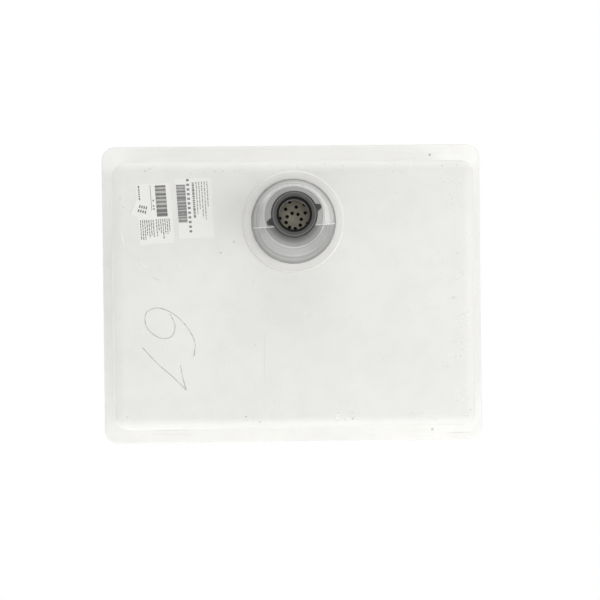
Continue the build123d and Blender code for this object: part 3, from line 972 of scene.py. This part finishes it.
# Casting marks on the underside, as pixels of the photograph
LARGE_SPECKS = [
    (214, 170.7), (215.5, 171.2), (223, 171.3), (239, 172), (270, 165.3), (144.7, 171), (120, 198),
    (343, 166), (325, 164.7), (442, 165.3), (456.7, 164.7), (345, 419), (353, 418.7), (430.7, 413.3),
    (435.5, 419.5), (127.7, 417), (248, 421), (260, 422), (245.7, 416.7), (233.6, 241.8), (235, 242.1),
    (220.8, 252.8), (453.4, 297), (452.4, 298.4), (455.2, 297.4), (447.9, 366.3), (457.5, 252.8),
    (442.4, 262.3), (194.8, 354), (461.8, 342.5), (460.6, 356), (468, 416), (470.5, 409.5),
]
WASTE_PIXEL = (293.5, 218.0)
WASTE_KEEP_OUT = 46
SPECK_ZONES = [
    (391, 160, 431, 172, 22), (441, 164, 463, 212, 26), (455, 226, 468, 300, 12), (459, 304, 469, 330, 16),
    (452, 336, 469, 362, 14), (452, 384, 470, 402, 10), (332, 412, 360, 421, 20), (410, 411, 438, 421, 16),
    (236, 412, 268, 423, 10), (196, 168, 244, 174, 8), (112, 160, 470, 424, 60),
]
SCUFF_ZONES = [
    (332, 414, 342, 419, 9), (428, 411, 436, 416, 6), (459, 306, 469, 330, 14), (455, 385, 468, 400, 8),
    (393, 161, 430, 170, 8), (444, 168, 462, 206, 10), (160, 208, 172, 214, 3),
]


def scatter(zones, draw, smallest, largest, height):
    """Small low grains, spread evenly over zones given as left, top, right, bottom and count."""
    grains = Solids()
    for left, top, right, bottom, count in zones:
        for _ in range(count):
            px, py = draw.uniform(left, right), draw.uniform(top, bottom)
            if math.dist((px, py), WASTE_PIXEL) < WASTE_KEEP_OUT:
                continue
            size = draw.uniform(smallest, largest)
            width = size * draw.uniform(0.5, 0.9)
            grains.blob(*on_sink(px, py), size, width, draw.uniform(0, math.pi), height)
    return grains


def make_specks(dark, pale):
    """Small pits and dark grains: the ones that stand out, and scatters of finer ones and pale scuffs."""
    draw = random.Random(11)
    specks = scatter(SPECK_ZONES, draw, 0.35 * MM, 0.95 * MM, 0.02 * MM)
    for px, py in LARGE_SPECKS:
        size = draw.uniform(1.1, 2.3) * MM
        width = size * draw.uniform(0.4, 0.8)
        specks.blob(*on_sink(px, py), size, width, draw.uniform(0, math.pi), 0.03 * MM)
    specks.piece("casting_specks", dark)
    scatter(SCUFF_ZONES, draw, 0.8 * MM, 2.4 * MM, 0.02 * MM).piece("pale_scuffs", pale)


# Faint scratches and rub marks, and thin lines of painted shade and painted highlight along the clip slots
# and near the rim's edge, as pixels at their ends, with their width
DARK_SCRATCH_AND_SHADE_LINES = [
    ((264.5, 332), (264.3, 384), 0.35 * MM), ((298, 165), (297.6, 170), 0.8 * MM),
    ((150.5, 277), (161.5, 281), 0.8 * MM), ((446, 432.6), (473, 432.2), 0.7 * MM),
    ((151, 430.9), (190, 430.3), 0.5 * MM), ((334, 416), (337, 421), 0.6 * MM),
    ((352.5, 409), (350.5, 418), 0.5 * MM), ((146, 171), (155, 166), 0.6 * MM),
]
PALE_SCRATCH_AND_HIGHLIGHT_LINES = [
    ((140.5, 262), (147.5, 268.5), 0.9 * MM), ((456, 429.8), (473, 429.4), 0.9 * MM),
    ((431, 155.6), (458, 155.4), 0.9 * MM), ((162.5, 157.6), (186, 158.4), 0.8 * MM),
    ((305, 311), (305.4, 317), 0.9 * MM), ((121, 232), (124.5, 246), 1.2 * MM),
]
SCRATCH_STEPS = 16
SCRATCH_HEIGHT = 0.015 * MM


def make_scratches(name, scratches, material):
    """Thin low strokes that follow the sink's surface."""
    strokes = Solids()
    for start, end, width in scratches:
        spots = []
        widths = []
        for k in range(SCRATCH_STEPS + 1):
            share = k / SCRATCH_STEPS
            spot, normal = on_sink(*Vector(start).lerp(Vector(end), share))
            spots.append((spot, normal))
            uneven = 0.75 + 0.6 * noise.noise(spot * 300)
            widths.append(width * uneven * (0.3 + math.sin(math.pi * share)))
        strokes.ribbon(spots, widths, SCRATCH_HEIGHT)
    strokes.piece(name, material)


# Clip slots under the rim. Composite has run into them, and grey dots of painted shade stand for two of
# their pilot holes
CLIP_SLOT_X = 179.5 * MM
CLIP_SLOT_Y = 202.5 * MM
CLIP_SLOT_HALF = 25.5 * MM
CLIP_SLOT_RADIUS = 2.55 * MM
PILOT_OFFSET = 25.0 * MM
PILOT_RADIUS = 2.0 * MM
SKIM_DEPTH = 1.1 * MM
DOTTED_PILOTS = [(-1, -1, -1), (-1, 1, -1)]


def make_slot_skims(composite, shade):
    """Skims of composite that leave the clip slots shallow, and dots of painted shade where pilot holes
    lie under them.
    """
    skims = Solids()
    for side_x in (-1, 1):
        for side_y in (-1, 1):
            middle = Vector((side_x * CLIP_SLOT_X, side_y * CLIP_SLOT_Y, SLOT_FLOOR))
            skims.stadium(middle, CLIP_SLOT_HALF, CLIP_SLOT_RADIUS, -SKIM_DEPTH, 0.1 * MM, 48)
    skims.piece("slot_skims", composite, smooth=False)
    dots = Solids()
    for side_x, side_y, end in DOTTED_PILOTS:
        middle = Vector((side_x * CLIP_SLOT_X + end * PILOT_OFFSET, side_y * CLIP_SLOT_Y, SLOT_FLOOR))
        dots.stadium(middle, 0.0, PILOT_RADIUS, -SKIM_DEPTH - 0.05 * MM, 0.0, 32)
    dots.piece("pilot_dots", shade, smooth=False)


# Floor, world and lamps

FLOOR_GAP = 4 * MM
FLOOR_HALF = 6.0


def make_floor():
    """Pale floor under the nut's travel. Only a camera above it sees it, and it fades into white."""
    height = nut_low.z - nut_travel - FLOOR_GAP
    mesh = bpy.data.meshes.new("floor")
    corners = [(x * FLOOR_HALF, y * FLOOR_HALF, height) for x, y in ((-1, -1), (1, -1), (1, 1), (-1, 1))]
    mesh.from_pydata(corners, [], [(0, 1, 2, 3)])
    floor = bpy.data.objects.new("floor", mesh)
    bpy.context.scene.collection.objects.link(floor)
    s = Shader("floor_finish")
    s.finish((*FLOOR_GREY, 1.0), 0.9, Specular_IOR_Level=0.0)
    clear = s.node("BsdfTransparent").outputs[0]
    away = s.node("VectorMath", operation="LENGTH")
    s.link(s.place, away.inputs[0])
    shown = s.span(away.outputs["Value"], 0.55, 1.8, 1.0, 0.0, smooth=True)
    from_above = s.maths("SUBTRACT", 1.0, s.node("NewGeometry").outputs["Backfacing"])
    shown = s.product(shown, from_above, s.node("LightPath").outputs["Is Camera Ray"])
    blend = s.node("MixShader")
    s.link(shown, blend.inputs[0])
    s.link(clear, blend.inputs[1])
    s.link(s.surface.outputs[0], blend.inputs[2])
    s.link(blend.outputs[0], s.output.inputs["Surface"])
    mesh.materials.append(s.material)
    floor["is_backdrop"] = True


AMBIENT = 0.44


def make_world():
    """White to the camera and to reflections, and a soft even light to everything else."""
    world = bpy.data.worlds.new("studio")
    bpy.context.scene.world = world
    world.use_nodes = True
    tree = world.node_tree
    tree.nodes.clear()
    path = tree.nodes.new("ShaderNodeLightPath")
    seen = path.outputs["Is Camera Ray"]
    for ray in ("Is Glossy Ray", "Is Transmission Ray"):
        either = tree.nodes.new("ShaderNodeMath")
        either.operation = "MAXIMUM"
        tree.links.new(seen, either.inputs[0])
        tree.links.new(path.outputs[ray], either.inputs[1])
        seen = either.outputs[0]
    level = tree.nodes.new("ShaderNodeMapRange")
    tree.links.new(seen, level.inputs["Value"])
    level.inputs["To Min"].default_value = AMBIENT
    level.inputs["To Max"].default_value = 1.0
    background = tree.nodes.new("ShaderNodeBackground")
    background.inputs["Color"].default_value = (1, 1, 1, 1)
    tree.links.new(level.outputs["Result"], background.inputs["Strength"])
    output = tree.nodes.new("ShaderNodeOutputWorld")
    tree.links.new(background.outputs[0], output.inputs["Surface"])


# Soft lamps round and below the sink, and one above it: place and power
LAMP_SIDE = 1.4
LAMPS = {
    "rear_softbox": ((0.0, 1.5, -0.45), 12.8),
    "right_softbox": ((-1.5, -0.2, -0.45), 4.5),
    "low_right_softbox": ((-1.4, -0.1, -1.3), 11.6),
    "left_softbox": ((1.5, 0.2, -0.45), 5.1),
    "front_softbox": ((0.0, -1.5, -0.45), 8.0),
    "low_front_softbox": ((0.0, -1.4, -1.3), 4.5),
    "front_left_softbox": ((1.1, -1.1, -0.9), 6.6),
    "overhead_softbox": ((0.5, -0.5, 1.5), 18.0),
}


def make_lamp(name, place, power):
    """Soft square lamp aimed at the middle of the sink."""
    data = bpy.data.lights.new(name, "AREA")
    data.energy = power
    data.size = LAMP_SIDE
    lamp = bpy.data.objects.new(name, data)
    lamp.location = place
    middle = (sink_low + sink_high) / 2
    lamp.rotation_euler = (middle - Vector(place)).to_track_quat("-Z", "Y").to_euler()
    bpy.context.scene.collection.objects.link(lamp)


bpy.context.scene.view_settings.view_transform = "Standard"
make_camera()
finishes = dress_cad_nodes()
make_floor()
make_world()
for name, (place, power) in LAMPS.items():
    make_lamp(name, place, power)

make_bore_lip(finishes["waste_housing"])
make_threaded_housing()
make_threads(finishes["waste_housing"], finishes["union_nut"])
make_step_bead(step_highlight_finish())
make_labels()
make_pencil_mark(ink_material("graphite", GRAPHITE))
make_specks(ink_material("pit", PIT_GREY), ink_material("scuff", SCUFF_WHITE))
make_scratches("dark_scratches_and_painted_shade", DARK_SCRATCH_AND_SHADE_LINES, ink_material("dark_rub_and_painted_shade", DARK_RUB_AND_SHADE_GREY))
make_scratches("pale_scratches_and_painted_highlights", PALE_SCRATCH_AND_HIGHLIGHT_LINES, ink_material("pale_rub_and_painted_highlight", PALE_RUB_AND_HIGHLIGHT_WHITE))
make_slot_skims(finishes["sink_bowl"], ink_material("pilot_shade", PILOT_SHADE_GREY))

visual_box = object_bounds()
[[list(corner) for corner in box] for box in (cad_box, visual_box)]
